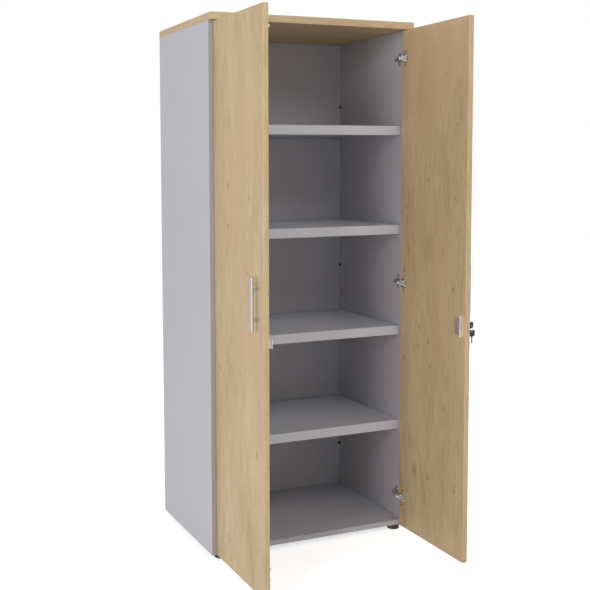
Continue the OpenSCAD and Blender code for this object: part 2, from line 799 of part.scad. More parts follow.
// A key head is a square plate with round corners and a ring hole
module head_plate(n, z, hole) {
    a = key_head / 2;
    c = 5;
    difference() {
        translate([case_u - half_w - key_head_t / 2, front_y - n, z]) rotate([0, 90, 0])
            linear_extrude(key_head_t) {
                square([2 * a, 2 * (a - c)], center = true);
                square([2 * (a - c), 2 * a], center = true);
                for (i = [-1, 1], j = [-1, 1]) translate([i * (a - c), j * (a - c)]) circle(r = c);
            }
        along_u(hole[0], hole[1], key_hole_d / 2, [case_u - 5, case_u + 5]);
    }
}
module key_head_piece() {
    color(black_plastic) on_right() open_door() difference() {
        head_plate(head_n, lock_z, [hole_n, key_hole_z]);
        box([case_u - key_blade_t / 2, case_u + key_blade_t / 2],
            [head_n - key_head / 2 - 1, head_n - key_head / 2 + blade_in],
            [lock_z - key_blade_w / 2, lock_z + key_blade_w / 2]);
    }
}
module spare_key_head() {
    color(black_plastic) on_right() open_door() difference() {
        head_plate(hole_n, spare_head_z, [hole_n, spare_hole_z]);
        box([case_u - key_blade_t / 2, case_u + key_blade_t / 2],
            [hole_n - key_blade_w / 2, hole_n + key_blade_w / 2],
            [spare_head_z - key_head / 2 - 1, spare_head_z - key_head / 2 + blade_in]);
    }
}
module spare_key_blade() {
    color(nickel) on_right() open_door()
        box([case_u - key_blade_t / 2, case_u + key_blade_t / 2],
            [hole_n - key_blade_w / 2, hole_n + key_blade_w / 2],
            [spare_head_z - key_head / 2 - spare_len, spare_head_z - key_head / 2 + blade_in]);
}
module key_ring() {
    color(nickel) on_right() open_door()
        translate([case_u - half_w, front_y - hole_n, ring_z]) rotate([90, 0, 0]) rotate_extrude()
            translate([ring_r, 0]) circle(r = ring_wire / 2);
}

// Strike on the left door: a stepped tongue that the lock bolt moves behind
module strike() {
    z = [lock_z - strike_h / 2, lock_z + strike_h / 2];
    color(zinc) open_door() difference() {
        union() {
            box([free_u - strike_w, free_u], [door_gap - strike_t, door_gap], z);
            box([free_u - strike_t, free_u], [door_gap - strike_t - strike_step, door_gap], z);
            box([free_u - strike_t, free_u + strike_reach],
                [door_gap - strike_t - strike_step, door_gap - strike_step], z);
        }
        for (s = [-1, 1])
            along_n(free_u - strike_w / 2, lock_z + s * strike_screw_z, screw_r + fit,
                    [door_gap - 5, door_gap + 1]);
    }
}

// Guides and slide bolts that hold the left door shut, behind its free edge
module slide_guides() {
    color(nickel) open_door() for (z = slide_z) difference() {
        union() {
            box([slide_u - guide_screw_w - 5, slide_u + guide_screw_w + 5],
                [door_gap - guide_t, door_gap], [z - guide_h / 2, z + guide_h / 2]);
            box([slide_u - guide_w / 2 + 3, slide_u + guide_w / 2 - 3],
                [slide_n - slide_d / 2 - 1.5, door_gap], [z - guide_h / 2, z + guide_h / 2]);
        }
        post([slide_u, slide_n], slide_d / 2 + slide_fit, [z - guide_h, z + guide_h]);
        for (s = [-1, 1])
            along_n(slide_u + s * guide_screw_w, z, screw_r + fit, [door_gap - 5, door_gap + 1]);
    }
}
knob_d = 10;
module slide_bolt(tip, up) {
    end = tip - up * slide_len;
    color(zinc) open_door() {
        post([slide_u, slide_n], slide_d / 2, [min(tip, end), max(tip, end)]);
        along_n(slide_u, end + up * knob_d / 2, knob_d / 2, [slide_n - slide_d / 2 - 3, slide_n]);
    }
}

side_panel();  // side_panel_left
on_right() side_panel();  // side_panel_right
top_panel();
bottom_panel();
back_panel();
shelf(shelf_1_z);  // shelf_1
shelf(shelf_2_z);  // shelf_2
shelf(shelf_3_z);  // shelf_3
shelf(shelf_4_z);  // shelf_4
shelf_pins();
back_clips();
cam_locks();
cam_bolts();
dowels();
foot_sockets();
foot(foot_n[0]);  // foot_front_left
on_right() foot(foot_n[0]);  // foot_front_right
foot(foot_n[1]);  // foot_rear_left
on_right() foot(foot_n[1]);  // foot_rear_right
both() for (z = hinge_z) hinge_plate(z);  // hinge_plates
hinge_plate_screws();
arm_pins();
hinge_arm(hinge_z[0]);  // hinge_arm_left_top
hinge_arm(hinge_z[1]);  // hinge_arm_left_middle
hinge_arm(hinge_z[2]);  // hinge_arm_left_bottom
on_right() hinge_arm(hinge_z[0]);  // hinge_arm_right_top
on_right() hinge_arm(hinge_z[1]);  // hinge_arm_right_middle
on_right() hinge_arm(hinge_z[2]);  // hinge_arm_right_bottom
long_links();  // long_links_left
on_right() long_links();  // long_links_right
short_links();  // short_links_left
on_right() short_links();  // short_links_right
hinge_cup(hinge_z[0]);  // hinge_cup_left_top
hinge_cup(hinge_z[1]);  // hinge_cup_left_middle
hinge_cup(hinge_z[2]);  // hinge_cup_left_bottom
on_right() hinge_cup(hinge_z[0]);  // hinge_cup_right_top
on_right() hinge_cup(hinge_z[1]);  // hinge_cup_right_middle
on_right() hinge_cup(hinge_z[2]);  // hinge_cup_right_bottom
cup_pins();  // cup_pins_left
on_right() cup_pins();  // cup_pins_right
color(zinc) open_door() left_screws();  // door_screws
color(zinc) on_right() open_door() face_screws();  // faceplate_screws
door_left();
door_right();
handle();  // handle_left
on_right() handle();  // handle_right
lock_case();
lock_faceplate();
lock_cylinder();
lock_plug();
lock_bolt();
key_blade();
key_head_piece();  // key_head
key_ring();
spare_key_blade();
spare_key_head();
strike();
slide_guides();
slide_bolt(door_z1 + 1, 1);  // slide_bolt_top
slide_bolt(floor_z + 2, -1);  // slide_bolt_bottom
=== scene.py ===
# %% [markdown]
# # A tall storage cabinet
# The cabinet is a carcass of coated chipboard with two oak-look doors, four folded steel
# shelves, concealed cup hinges, bar handles and a lock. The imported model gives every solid
# part at its true size, in metres, so this script only dresses it: it puts finishes on the
# parts whose shape is right and builds finer pieces over the ones that people look at.

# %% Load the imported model
import json
import math

import bmesh
import bpy
from mathutils import Matrix, Vector

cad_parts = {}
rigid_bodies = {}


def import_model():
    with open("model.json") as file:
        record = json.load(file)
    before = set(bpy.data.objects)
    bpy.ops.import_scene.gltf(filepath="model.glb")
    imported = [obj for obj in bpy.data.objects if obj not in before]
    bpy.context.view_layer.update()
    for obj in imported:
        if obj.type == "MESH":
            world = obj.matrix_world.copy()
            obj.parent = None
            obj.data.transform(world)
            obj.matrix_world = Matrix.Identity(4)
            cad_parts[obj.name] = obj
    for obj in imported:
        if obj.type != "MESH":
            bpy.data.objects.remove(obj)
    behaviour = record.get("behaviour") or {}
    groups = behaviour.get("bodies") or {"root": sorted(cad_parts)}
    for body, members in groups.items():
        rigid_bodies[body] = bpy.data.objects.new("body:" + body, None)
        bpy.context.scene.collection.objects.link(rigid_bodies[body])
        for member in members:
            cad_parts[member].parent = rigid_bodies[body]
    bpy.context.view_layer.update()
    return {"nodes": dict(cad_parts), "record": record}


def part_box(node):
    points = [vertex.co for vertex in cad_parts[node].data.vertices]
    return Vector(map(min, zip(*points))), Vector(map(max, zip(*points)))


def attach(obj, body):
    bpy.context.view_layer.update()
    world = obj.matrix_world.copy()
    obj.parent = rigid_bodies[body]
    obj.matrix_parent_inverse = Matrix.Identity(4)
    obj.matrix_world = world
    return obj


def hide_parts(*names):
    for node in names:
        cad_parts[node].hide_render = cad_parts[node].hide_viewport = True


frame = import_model()
nodes = frame["nodes"]
print("parts in the frame:", len(nodes))

# %% [markdown]
# ## Camera
# The photograph's perspective gives the camera. Its verticals converge only a little, so
# the picture was cut from a wider view, and a small lens shift stands for that cut. The
# view is given by its position, its turn to the right, its dip and a slight roll.

# %% Place the camera
PICTURE = 590
SENSOR = 36.0
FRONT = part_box("side_panel_left")[0].y
# The place is counted from the floor below the middle of the carcass's front, in metres,
# and the angles are in radians.
STAND = (-1.6323, -3.0914, 1.3847)
TURN = 0.3847
DIP = 0.0808
ROLL = -0.0076
# The focal length and the optical centre, in pixels of the picture.
FOCAL_PIXELS = 975.5
CENTRE_PIXELS = (215, 245)
VIEW_END = 60.0


def place_camera(position, turn, dip, roll, focal, centre):
    data = bpy.data.cameras.new("camera")
    data.sensor_width = SENSOR
    data.lens = focal / PICTURE * SENSOR
    data.shift_x = 0.5 - centre[0] / PICTURE
    data.shift_y = centre[1] / PICTURE - 0.5
    data.clip_end = VIEW_END
    camera = bpy.data.objects.new("camera", data)
    bpy.context.scene.collection.objects.link(camera)
    aim = Matrix.Rotation(-turn, 4, "Z") @ Matrix.Rotation(math.pi / 2 - dip, 4, "X")
    camera.matrix_world = Matrix.Translation(position) @ aim @ Matrix.Rotation(roll, 4, "Z")
    bpy.context.scene.camera = camera
    return camera


position = (STAND[0], STAND[1] + FRONT, STAND[2])
camera = place_camera(position, TURN, DIP, ROLL, FOCAL_PIXELS, CENTRE_PIXELS)
print("lens in mm:", round(camera.data.lens, 1))

# %% [markdown]
# ## Tools for finishes
# A colour is written as the hex value that a picture shows, and the shader wants linear
# light, so one function turns it. A second one adds a node with its settings and links,
# and a third counts the part's own coordinates in repeats of so many millimetres, so that
# every pattern below is given by its real size.

# %% Colour and node helpers
MM = 0.001


def tint(text):
    """A hex colour as a picture shows it, turned to linear light."""
    value = [int(text[i : i + 2], 16) / 255 for i in (1, 3, 5)]
    return [v / 12.92 if v <= 0.04045 else ((v + 0.055) / 1.055) ** 2.4 for v in value] + [1.0]


def add(tree, kind, inputs=(), out=0, stops=(), **settings):
    """Adds a node and gives back one of its outputs. Inputs that are outputs get linked."""
    made = tree.nodes.new("ShaderNode" + kind)
    for key, value in settings.items():
        setattr(made, key, value)
    for key, value in inputs.items() if isinstance(inputs, dict) else enumerate(inputs):
        if isinstance(value, bpy.types.NodeSocket):
            tree.links.new(value, made.inputs[key])
        else:
            made.inputs[key].default_value = value
    while stops and len(made.color_ramp.elements) < len(stops):
        made.color_ramp.elements.new(0.5)
    for place, (position, colour) in enumerate(stops):
        made.color_ramp.elements[place].position = position
        made.color_ramp.elements[place].color = tint(colour)
    return made.outputs[out] if len(made.outputs) else None


def new_finish(name):
    """An empty material and its node tree."""
    finish = bpy.data.materials.new(name)
    finish.use_nodes = True
    finish.node_tree.nodes.clear()
    return finish, finish.node_tree


def repeats(tree, *sizes_mm):
    """The part's own coordinates, counted in repeats of these sizes along x, y and z."""
    place = add(tree, "TexCoord", out="Object")
    per_metre = [1 / (size * MM) for size in sizes_mm]
    return add(tree, "VectorMath", (place, per_metre), operation="MULTIPLY")


print("mid grey in linear light:", [round(v, 3) for v in tint("#808080")])

# %% [markdown]
# ## Light oak decor
# The doors and the top are chipboard faced with melamine paper, printed as light natural
# oak and pressed with fine pores. To the eye it is a pale satin wood with soft patches a
# few fingers wide, some a little pinker, short flecks, fine pores and small knots that the
# grain bends round. It could be a photograph of a board. Here it is drawn from noise that
# is stretched along the grain, which stays sharp at any distance.

# %% Knots
ACROSS_AND_THROUGH = {0: (1, 2), 1: (0, 2), 2: (1, 0)}
KNOT_FIELD_MM = (75.0, 160.0)
# For each metre through the board the pattern moves on by these, so two faces differ.
ASIDE_PER_DEPTH = 3.7
ALONG_PER_DEPTH = 1.5
# A field's chance, and the radius that it gives as a share of the field. About a third of
# the fields get no knot, and the largest knot is 9 mm wide.
KNOT_RADIUS = (0.3, 1.0, 0.001, 0.06)
SOFT_REACH = 4.5


def knots(tree, grain):
    """Knots in the plane of the face; a face further along gets others.
    Gives the heart of each knot and the soft field round it, both from 0 to 1."""
    place = add(tree, "TexCoord", out="Object")
    axes = add(tree, "SeparateXYZ", (place,)).node.outputs
    across, through = ACROSS_AND_THROUGH[grain]
    aside = (axes[through], ASIDE_PER_DEPTH, axes[across])
    along = (axes[through], ALONG_PER_DEPTH, axes[grain])
    beside = add(tree, "Math", aside, operation="MULTIPLY_ADD")
    beyond = add(tree, "Math", along, operation="MULTIPLY_ADD")
    flat = add(tree, "CombineXYZ", (beside, beyond, 0.0))
    per_metre = [1 / (size * MM) for size in KNOT_FIELD_MM] + [0.0]
    spot = add(tree, "VectorMath", (flat, per_metre), operation="MULTIPLY")
    cells = {"Vector": spot, "Scale": 1.0}
    far = add(tree, "TexVoronoi", cells, out="Distance", voronoi_dimensions="2D")
    chance = add(tree, "SeparateColor", (far.node.outputs["Color"],))
    size = add(tree, "MapRange", (chance, *KNOT_RADIUS))
    reach = add(tree, "Math", (size, SOFT_REACH), operation="MULTIPLY")
    heart = add(tree, "MapRange", (far, 0.0, size, 1.0, 0.0))
    field = add(tree, "MapRange", (far, 0.0, reach, 1.0, 0.0), interpolation_type="SMOOTHSTEP")
    return heart, field


print("a field for one knot in mm:", KNOT_FIELD_MM)

# %% Oak grain
DRIFT_MM = (220.0, 600.0)
# A layer's size across and along the grain in mm, how many of its own repeats the drift
# leads it aside, and the detail of its noise.
PATCH = ((90.0, 420.0), 1.0, 2.0)
FLECK = ((13.0, 75.0), 4.0, 3.0)
FIBRE = ((4.0, 60.0), 8.0, 3.0)
# A pore of real oak is about 0.3 mm wide. It is drawn three times as wide, so that it shows.
PORE = ((1.7, 36.0), 9.0, 1.0)
STREAK_ROUGHNESS = 0.6


def stretched(tree, grain, size_mm):
    """size_mm is across the grain and along it."""
    sizes = [size_mm[0]] * 3
    sizes[grain] = size_mm[1]
    return repeats(tree, *sizes)


def streaks(tree, grain, layer, drift, field):
    """Noise along the grain, led aside across it by slow drift and round each knot."""
    size_mm, bend, detail = layer
    aside = [bend, bend, bend]
    aside[grain] = 0.0
    place = stretched(tree, grain, size_mm)
    wavy = add(tree, "VectorMath", (drift, aside, place), operation="MULTIPLY_ADD")
    spot = add(tree, "VectorMath", (wavy, field), operation="ADD")
    noise = {"Vector": spot, "Scale": 1.0, "Detail": detail, "Roughness": STREAK_ROUGHNESS}
    return add(tree, "TexNoise", noise)


print("patch, fleck, fibre, pore in mm:", [v[0][0] for v in (PATCH, FLECK, FIBRE, PORE)])

# %% Oak decor
# The shares of patch, fleck and fibre in the tone, which picks among the shades.
PATCH_SHARE = 0.42
FLECK_SHARE = 0.34
FIBRE_SHARE = 0.24
OAK_SHADES = ((0.34, "#AE9167"), (0.46, "#BDA37B"), (0.55, "#C6AE87"), (0.68, "#CFB995"))
BLUSH_PINK = "#C6A682"
PORE_BROWN = "#94795A"
KNOT_RING = "#A98A62"
KNOT_HEART = "#624932"
# How far the two knot colours cover the wood.
RING_SHARE = 0.3
HEART_SHARE = 0.95
# Where in its noise a tint sets in and is full, and its shares there.
BLUSH_RANGE = (0.46, 0.6, 0.0, 0.55)
PORE_RANGE = (0.38, 0.26, 0.0, 0.42)
# Roughness and relief each have a factor on the fibre's noise and what is added to it.
SHEEN = (0.14, 0.38)
RELIEF = (0.4, 0.3)
# How far a pore goes down in the relief, and the relief's height in mm.
PORE_DEPTH = -1.4
PRESS_MM = 0.12


def oak_decor(name, grain):
    """grain is the axis, 0 for x, 1 for y or 2 for z, along which the streaks run."""
    finish, tree = new_finish(name)
    heart, field = knots(tree, grain)
    slow = {"Vector": stretched(tree, grain, DRIFT_MM), "Scale": 1.0}
    drift = add(tree, "TexNoise", slow, out="Color")
    patch = streaks(tree, grain, PATCH, drift, field)
    fleck = streaks(tree, grain, FLECK, drift, field)
    fibre = streaks(tree, grain, FIBRE, drift, field)
    pore = streaks(tree, grain, PORE, drift, field)
    tone = add(tree, "Math", (patch, PATCH_SHARE), operation="MULTIPLY")
    tone = add(tree, "Math", (fleck, FLECK_SHARE, tone), operation="MULTIPLY_ADD")
    tone = add(tree, "Math", (fibre, FIBRE_SHARE, tone), operation="MULTIPLY_ADD")
    colour = add(tree, "ValToRGB", (tone,), stops=OAK_SHADES)
    pinker = add(tree, "SeparateColor", (drift,), out=1)
    blush = add(tree, "MapRange", (pinker, *BLUSH_RANGE))
    dash = add(tree, "MapRange", (pore, *PORE_RANGE))
    ring = add(tree, "Math", (field, RING_SHARE), operation="MULTIPLY")
    core = add(tree, "Math", (heart, HEART_SHARE), operation="MULTIPLY")
    tints = ((blush, BLUSH_PINK), (dash, PORE_BROWN), (ring, KNOT_RING), (core, KNOT_HEART))
    for share, other in tints:
        colour = add(tree, "Mix", {0: share, 6: colour, 7: tint(other)}, out=2, data_type="RGBA")
    sheen = add(tree, "Math", (fibre, *SHEEN), operation="MULTIPLY_ADD")
    relief = add(tree, "Math", (fibre, *RELIEF), operation="MULTIPLY_ADD")
    relief = add(tree, "Math", (dash, PORE_DEPTH, relief), operation="MULTIPLY_ADD")
    bumps = add(tree, "Bump", {"Height": relief, "Distance": PRESS_MM * MM, "Strength": 0.5})
    film = {"Base Color": colour, "Roughness": sheen, "Normal": bumps, "IOR": 1.5}
    add(tree, "OutputMaterial", {"Surface": add(tree, "BsdfPrincipled", film)})
    return finish


OAK = [oak_decor("light_oak_melamine_" + axis, grain) for grain, axis in enumerate("xyz")]
print("oak finishes:", [finish.name for finish in OAK])

# %% [markdown]
# ## Light grey decor and powder coat
# The carcass is chipboard faced with plain light grey melamine, pressed with a pearl
# texture that breaks up reflections, so the board looks even and dull. The steel shelves
# are powder coated in nearly the same grey. The powder melts into a skin like orange peel,
# whose wider and smoother bumps leave it a little shinier. One recipe serves both: two
# close shades in slow clouds, so that a big face isn't dead flat, and small round bumps.

# %% Grey decor and powder coat
CLOUD_MM = 165.0
SKIN_SHARE = 0.35


def coated(name, colour, shade, bump_mm, depth_mm, rough):
    """colour and shade are the lighter and the darker tone of the clouds."""
    finish, tree = new_finish(name)
    cloud = {"Vector": repeats(tree, CLOUD_MM, CLOUD_MM, CLOUD_MM), "Scale": 1.0, "Detail": 4.0}
    skin = add(tree, "TexNoise", {"Vector": repeats(tree, bump_mm, bump_mm, bump_mm), "Scale": 1.0})
    mixed = add(tree, "Mix", {0: SKIN_SHARE, 2: add(tree, "TexNoise", cloud), 3: skin})
    paint = add(tree, "ValToRGB", (mixed,), stops=((0.38, shade), (0.6, colour)))
    bumps = add(tree, "Bump", {"Height": skin, "Distance": depth_mm * MM, "Strength": 0.5})
    film = {"Base Color": paint, "Normal": bumps, "IOR": 1.5, "Roughness": rough}
    add(tree, "OutputMaterial", {"Surface": add(tree, "BsdfPrincipled", film)})
    return finish


# The pearls are about 0.4 mm apart on a real board. They are drawn at 1.3 mm, or they
# wouldn't show. Orange peel is about 2 mm from crest to crest.
GREY_BOARD = coated("light_grey_melamine", "#BBBAC0", "#B9B8BE", 1.3, 0.05, 0.46)
POWDER_COAT = coated("grey_powder_coat", "#CBCCD4", "#C8C9D1", 2.2, 0.05, 0.36)
# The sides' front and rear edges are closed with ABS edging, a shade darker and warmer
# than the board, and smooth where the glue roller pressed it on.
GREY_EDGING = coated("grey_abs_edging", "#A5A0A3", "#A29DA0", 1.3, 0.03, 0.42)
print("coated finishes:", GREY_BOARD.name, POWDER_COAT.name, GREY_EDGING.name)

# %% [markdown]
# ## Raw chipboard with painted shade
# Where a bore or a groove cuts through the decor, the core shows: pressed chips of brown
# wood, 2 to 4 mm long, rough and without any sheen. The browns are painted much darker than
# raw board, as painted shade inside the bores and grooves. A pattern of cells is the natural
# choice, because each cell can be one chip with a shade of its own.

# %% Raw chipboard with painted shade
CHIP_MM = 3.3


def raw_chipboard(name):
    finish, tree = new_finish(name)
    place = repeats(tree, CHIP_MM, CHIP_MM, CHIP_MM)
    chips = add(tree, "TexVoronoi", {"Vector": place, "Scale": 1.0}, out="Color")
    # These browns are much darker than raw chipboard: painted shade for the inside of bores and
    # grooves.
    shades = ((0.1, "#35261A"), (0.5, "#513C28"), (0.9, "#6E5338"))
    wood = add(tree, "ValToRGB", (add(tree, "SeparateColor", (chips,)),), stops=shades)
    rough = add(tree, "TexNoise", {"Vector": place, "Scale": 1.0})
    bumps = add(tree, "Bump", {"Height": rough, "Distance": 0.4 * MM})
    chip = {"Base Color": wood, "Normal": bumps, "IOR": 1.4, "Roughness": 0.85}
    add(tree, "OutputMaterial", {"Surface": add(tree, "BsdfPrincipled", chip)})
    return finish


CHIPBOARD_IN_PAINTED_SHADE = raw_chipboard("raw_chipboard")
print("core:", CHIPBOARD_IN_PAINTED_SHADE.name)

# %% [markdown]
# ## Metals
# The handles are stainless steel bar, brushed along its length, so a highlight spreads
# across the bar. The hinge cups are nickel plated, which is bright and a little warm, and
# the lock's case is a satin nickel, blasted before plating, so it shows a soft pale face
# and no mirror image. Arms, links, pins and screws are zinc plated: bluish grey, duller,
# and cloudy from the bath. The key blades are plain steel, tumbled dull and dark. All are
# one recipe: a metal whose colour and sheen vary in streaks or clouds.

# %% Metal finishes


def metal(name, colour, shade, rough, sizes_mm, spread):
    """sizes_mm is the streak or cloud along x, y and z; spread is how much rough varies."""
    finish, tree = new_finish(name)
    cloud = {"Vector": repeats(tree, *sizes_mm), "Scale": 1.0, "Detail": 3.0}
    cloud = add(tree, "TexNoise", cloud)
    skin = add(tree, "ValToRGB", (cloud,), stops=((0.3, shade), (0.7, colour)))
    sheen = add(tree, "Math", (cloud, spread, rough - spread / 2), operation="MULTIPLY_ADD")
    bumps = add(tree, "Bump", {"Height": cloud, "Distance": 0.02 * MM, "Strength": 0.4})
    plate = {"Base Color": skin, "Roughness": sheen, "Normal": bumps, "Metallic": 1.0}
    add(tree, "OutputMaterial", {"Surface": add(tree, "BsdfPrincipled", plate)})
    return finish


# Brush lines are about 0.1 mm wide and are drawn at 0.7 mm, or they wouldn't show.
BRUSHED_STEEL = metal("brushed_stainless_steel", "#B0AEAE", "#A3A1A1", 0.52, (0.7, 0.7, 80.0), 0.12)
NICKEL = metal("nickel_plate", "#E4E0D8", "#D8D4CC", 0.40, (11.0, 11.0, 11.0), 0.10)
ZINC = metal("zinc_plate", "#D2D4D6", "#BFC2C4", 0.46, (6.0, 6.0, 6.0), 0.16)
SATIN_NICKEL = metal("satin_nickel_plate", "#EAD9CE", "#E2D0C5", 0.52, (25.0, 25.0, 25.0), 0.06)
KEY_STEEL = metal("tumbled_key_steel", "#85837F", "#716F6B", 0.44, (5.0, 5.0, 5.0), 0.10)
print("metals:", BRUSHED_STEEL.name, NICKEL.name, ZINC.name, SATIN_NICKEL.name, KEY_STEEL.name)

# %% [markdown]
# ## Plastic and beech
# Feet and the back's clips are injection moulded in black polypropylene and the key heads
# in black ABS. The mould is spark eroded, which leaves a fine dull grain. The cams' caps
# are moulded in the grey of the decor. The dowels inside are plain beech, whose short dark
# flecks lie along the turned rod.

# %% Plastic and beech finishes
# Spark erosion leaves pits of about 0.1 mm, drawn here at 0.6 mm so that they show.
SPARK_MM = 0.6
BEECH_FLECK_MM = (11.0, 1.1, 1.1)


def moulded(name, colour, shade, rough):
    finish, tree = new_finish(name)
    grain = {"Vector": repeats(tree, SPARK_MM, SPARK_MM, SPARK_MM), "Scale": 1.0}
    pits = add(tree, "TexNoise", grain)
    skin = add(tree, "ValToRGB", (pits,), stops=((0.35, shade), (0.65, colour)))
    bumps = add(tree, "Bump", {"Height": pits, "Distance": 0.03 * MM, "Strength": 0.5})
    plastic = {"Base Color": skin, "Normal": bumps, "IOR": 1.49, "Roughness": rough}
    add(tree, "OutputMaterial", {"Surface": add(tree, "BsdfPrincipled", plastic)})
    return finish


def beech_wood(name):
    finish, tree = new_finish(name)
    flecks = add(tree, "TexNoise", {"Vector": repeats(tree, *BEECH_FLECK_MM), "Scale": 1.0})
    wood = add(tree, "ValToRGB", (flecks,), stops=((0.3, "#C79F6E"), (0.7, "#DDBB8C")))
    beech = {"Base Color": wood, "IOR": 1.5, "Roughness": 0.6}
    add(tree, "OutputMaterial", {"Surface": add(tree, "BsdfPrincipled", beech)})
    return finish


BLACK_PLASTIC = moulded("black_moulded_plastic", "#2C2D2C", "#232423", 0.46)
GREY_PLASTIC = moulded("grey_moulded_plastic", "#BCBCC0", "#B8B8BC", 0.5)
BEECH = beech_wood("turned_beech")
print("others:", BLACK_PLASTIC.name, GREY_PLASTIC.name, BEECH.name)

# %% [markdown]
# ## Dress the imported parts
# Each part keeps its mesh and gets the finish that the record names for it. The finer
# pieces below replace most of what is seen, and these stay for what is hidden inside.

# %% Give every part its finish
FINISHES = {
    "oak_board": OAK[2],
    "grey_board": GREY_BOARD,
    "grey_steel": POWDER_COAT,
    "nickel": NICKEL,
    "zinc": ZINC,
    "black_plastic": BLACK_PLASTIC,
    "beech": BEECH,
}
SLOT_OF = {row["node"]: row["material_slot"] for row in frame["record"]["subparts"]}
BODY_OF = {name: part.parent.name.split(":")[-1] for name, part in nodes.items()}


def dress(thing, finish):
    thing.data.materials.clear()
    thing.data.materials.append(finish)


for name, part in nodes.items():
    dress(part, FINISHES[SLOT_OF[name]])
print("dressed parts:", len(nodes), "on bodies:", len(set(BODY_OF.values())))

# %% [markdown]
# ## Tools for pieces
# A finer piece is made in one of three ways. A part whose form is right already is copied,
# its seams are welded and its sharp edges get the small radius that banding, pressing or
# tumbling leaves. Bars, posts and screws are turned from a profile. Sheet metal is folded.

# %% Make a piece
CREASE = math.radians(35.0)


def finished_piece(name, shape, finishes, body, stands_for=()):
    bmesh.ops.recalc_face_normals(shape, faces=shape.faces[:])
    mesh = bpy.data.meshes.new(name)
    shape.to_mesh(mesh)
    shape.free()
    for finish in finishes:
        mesh.materials.append(finish)
    for face in mesh.polygons:
        face.use_smooth = True
    mesh.set_sharp_from_angle(angle=CREASE)
    piece = bpy.data.objects.new(name, mesh)
    bpy.context.scene.collection.objects.link(piece)
    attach(piece, body)
    if stands_for:
        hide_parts(*stands_for)
    flat_faces_rule = piece.modifiers.new("flat faces rule", "WEIGHTED_NORMAL")
    flat_faces_rule.keep_sharp = True
    flat_faces_rule.weight = 100
    return piece


print("an edge stays sharp over, in degrees:", round(math.degrees(CREASE)))

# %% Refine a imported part
WELD = 0.002 * MM
FLAT = math.radians(0.5)
SHARP = math.radians(50.0)
EASE_STEPS = 2
# On hardware, an edge shorter than this stays sharp.
TINY_MM = 1.0


def welded_copy(node):
    """The part's mesh with its seams closed and its flat faces whole."""
    shape = bmesh.new()
    shape.from_mesh(nodes[node].data)
    bmesh.ops.remove_doubles(shape, verts=shape.verts[:], dist=WELD)
    bmesh.ops.dissolve_limit(
        shape, angle_limit=FLAT, verts=shape.verts[:], edges=shape.edges[:]
    )
    return shape


def ease_edges(shape, radius_mm, shortest_mm):
    """Rounds the sharp edges that are at least so long."""
    sharp = [
        edge
        for edge in shape.edges
        if len(edge.link_faces) == 2
        and edge.calc_length() >= shortest_mm * MM
        and edge.calc_face_angle() > SHARP
    ]
    bmesh.ops.bevel(
        shape,
        geom=sharp,
        offset=radius_mm * MM,
        segments=EASE_STEPS,
        profile=0.5,
        affect="EDGES",
        clamp_overlap=True,
    )
    bmesh.ops.dissolve_degenerate(shape, dist=WELD, edges=shape.edges[:])
    return len(sharp)


def refine(node, radius_mm, finish=None):
    """Puts a copy with eased edges in the part's place."""
    shape = welded_copy(node)
    ease_edges(shape, radius_mm, TINY_MM)
    finish = finish or FINISHES[SLOT_OF[node]]
    return finished_piece(node + "_eased", shape, [finish], BODY_OF[node], [node])


print("an edge is eased over, in degrees:", round(math.degrees(SHARP)))


# %% Turn a profile
def turned(shape, profile, origin, axis, steps=48):
    """Adds a closed turned solid; profile has (distance along the axis, radius) in mm."""
    along = Vector(axis).normalized()
    side = along.orthogonal().normalized()
    other = along.cross(side)
    rings = []
    for distance, radius in profile:
        centre = Vector(origin) + along * distance * MM
        if radius == 0:
            rings.append([shape.verts.new(centre)])
            continue
        turns = [2 * math.pi * i / steps for i in range(steps)]
        spokes = [side * math.cos(t) + other * math.sin(t) for t in turns]
        rings.append([shape.verts.new(centre + spoke * radius * MM) for spoke in spokes])
    for first, second in zip(rings, rings[1:]):
        for i in range(steps):
            j = (i + 1) % steps
            corners = [first[i % len(first)], first[j % len(first)]]
            corners += [second[j % len(second)], second[i % len(second)]]
            shape.faces.new(list(dict.fromkeys(corners)))
    return shape


def rounded(start, end, radius, corner, steps=4):
    """A bar's profile with rounded end corners, from start to end in mm."""
    turns = [math.pi / 2 * i / steps for i in range(steps + 1)]
    rise = [(corner * (1 - math.cos(t)), radius - corner * (1 - math.sin(t))) for t in turns]
    return (
        [(start, 0)]
        + [(start + a, r) for a, r in rise]
        + [(end - a, r) for a, r in reversed(rise)]
        + [(end, 0)]
    )


print("points in a rounded profile:", len(rounded(0, 10, 5, 1)))

# %% [markdown]
# ## Boards
# The doors and panels are cut from board and edged with banding whose corners are eased.
# The copy keeps every bore and groove. A face that lies deeper than the edging is inside a
# cut, so it shows raw chipboard, painted dark as shade in the bores and grooves. On the oak
# boards the banding's grain follows the edge, and the grey sides have the darker edging at
# the front and at the rear.

# %% Doors and panels
BANDING_MM = 0.8
# On a board, an edge shorter than this stays sharp, so the rims of the bores do.
SHORTEST_MM = 15.0
# A face whose normal has more than this along an axis looks that way.
LOOKING = 0.9
# The third finish of a board is raw chipboard painted dark as shade.
EDGING, CORE_IN_PAINTED_SHADE = 1, 2


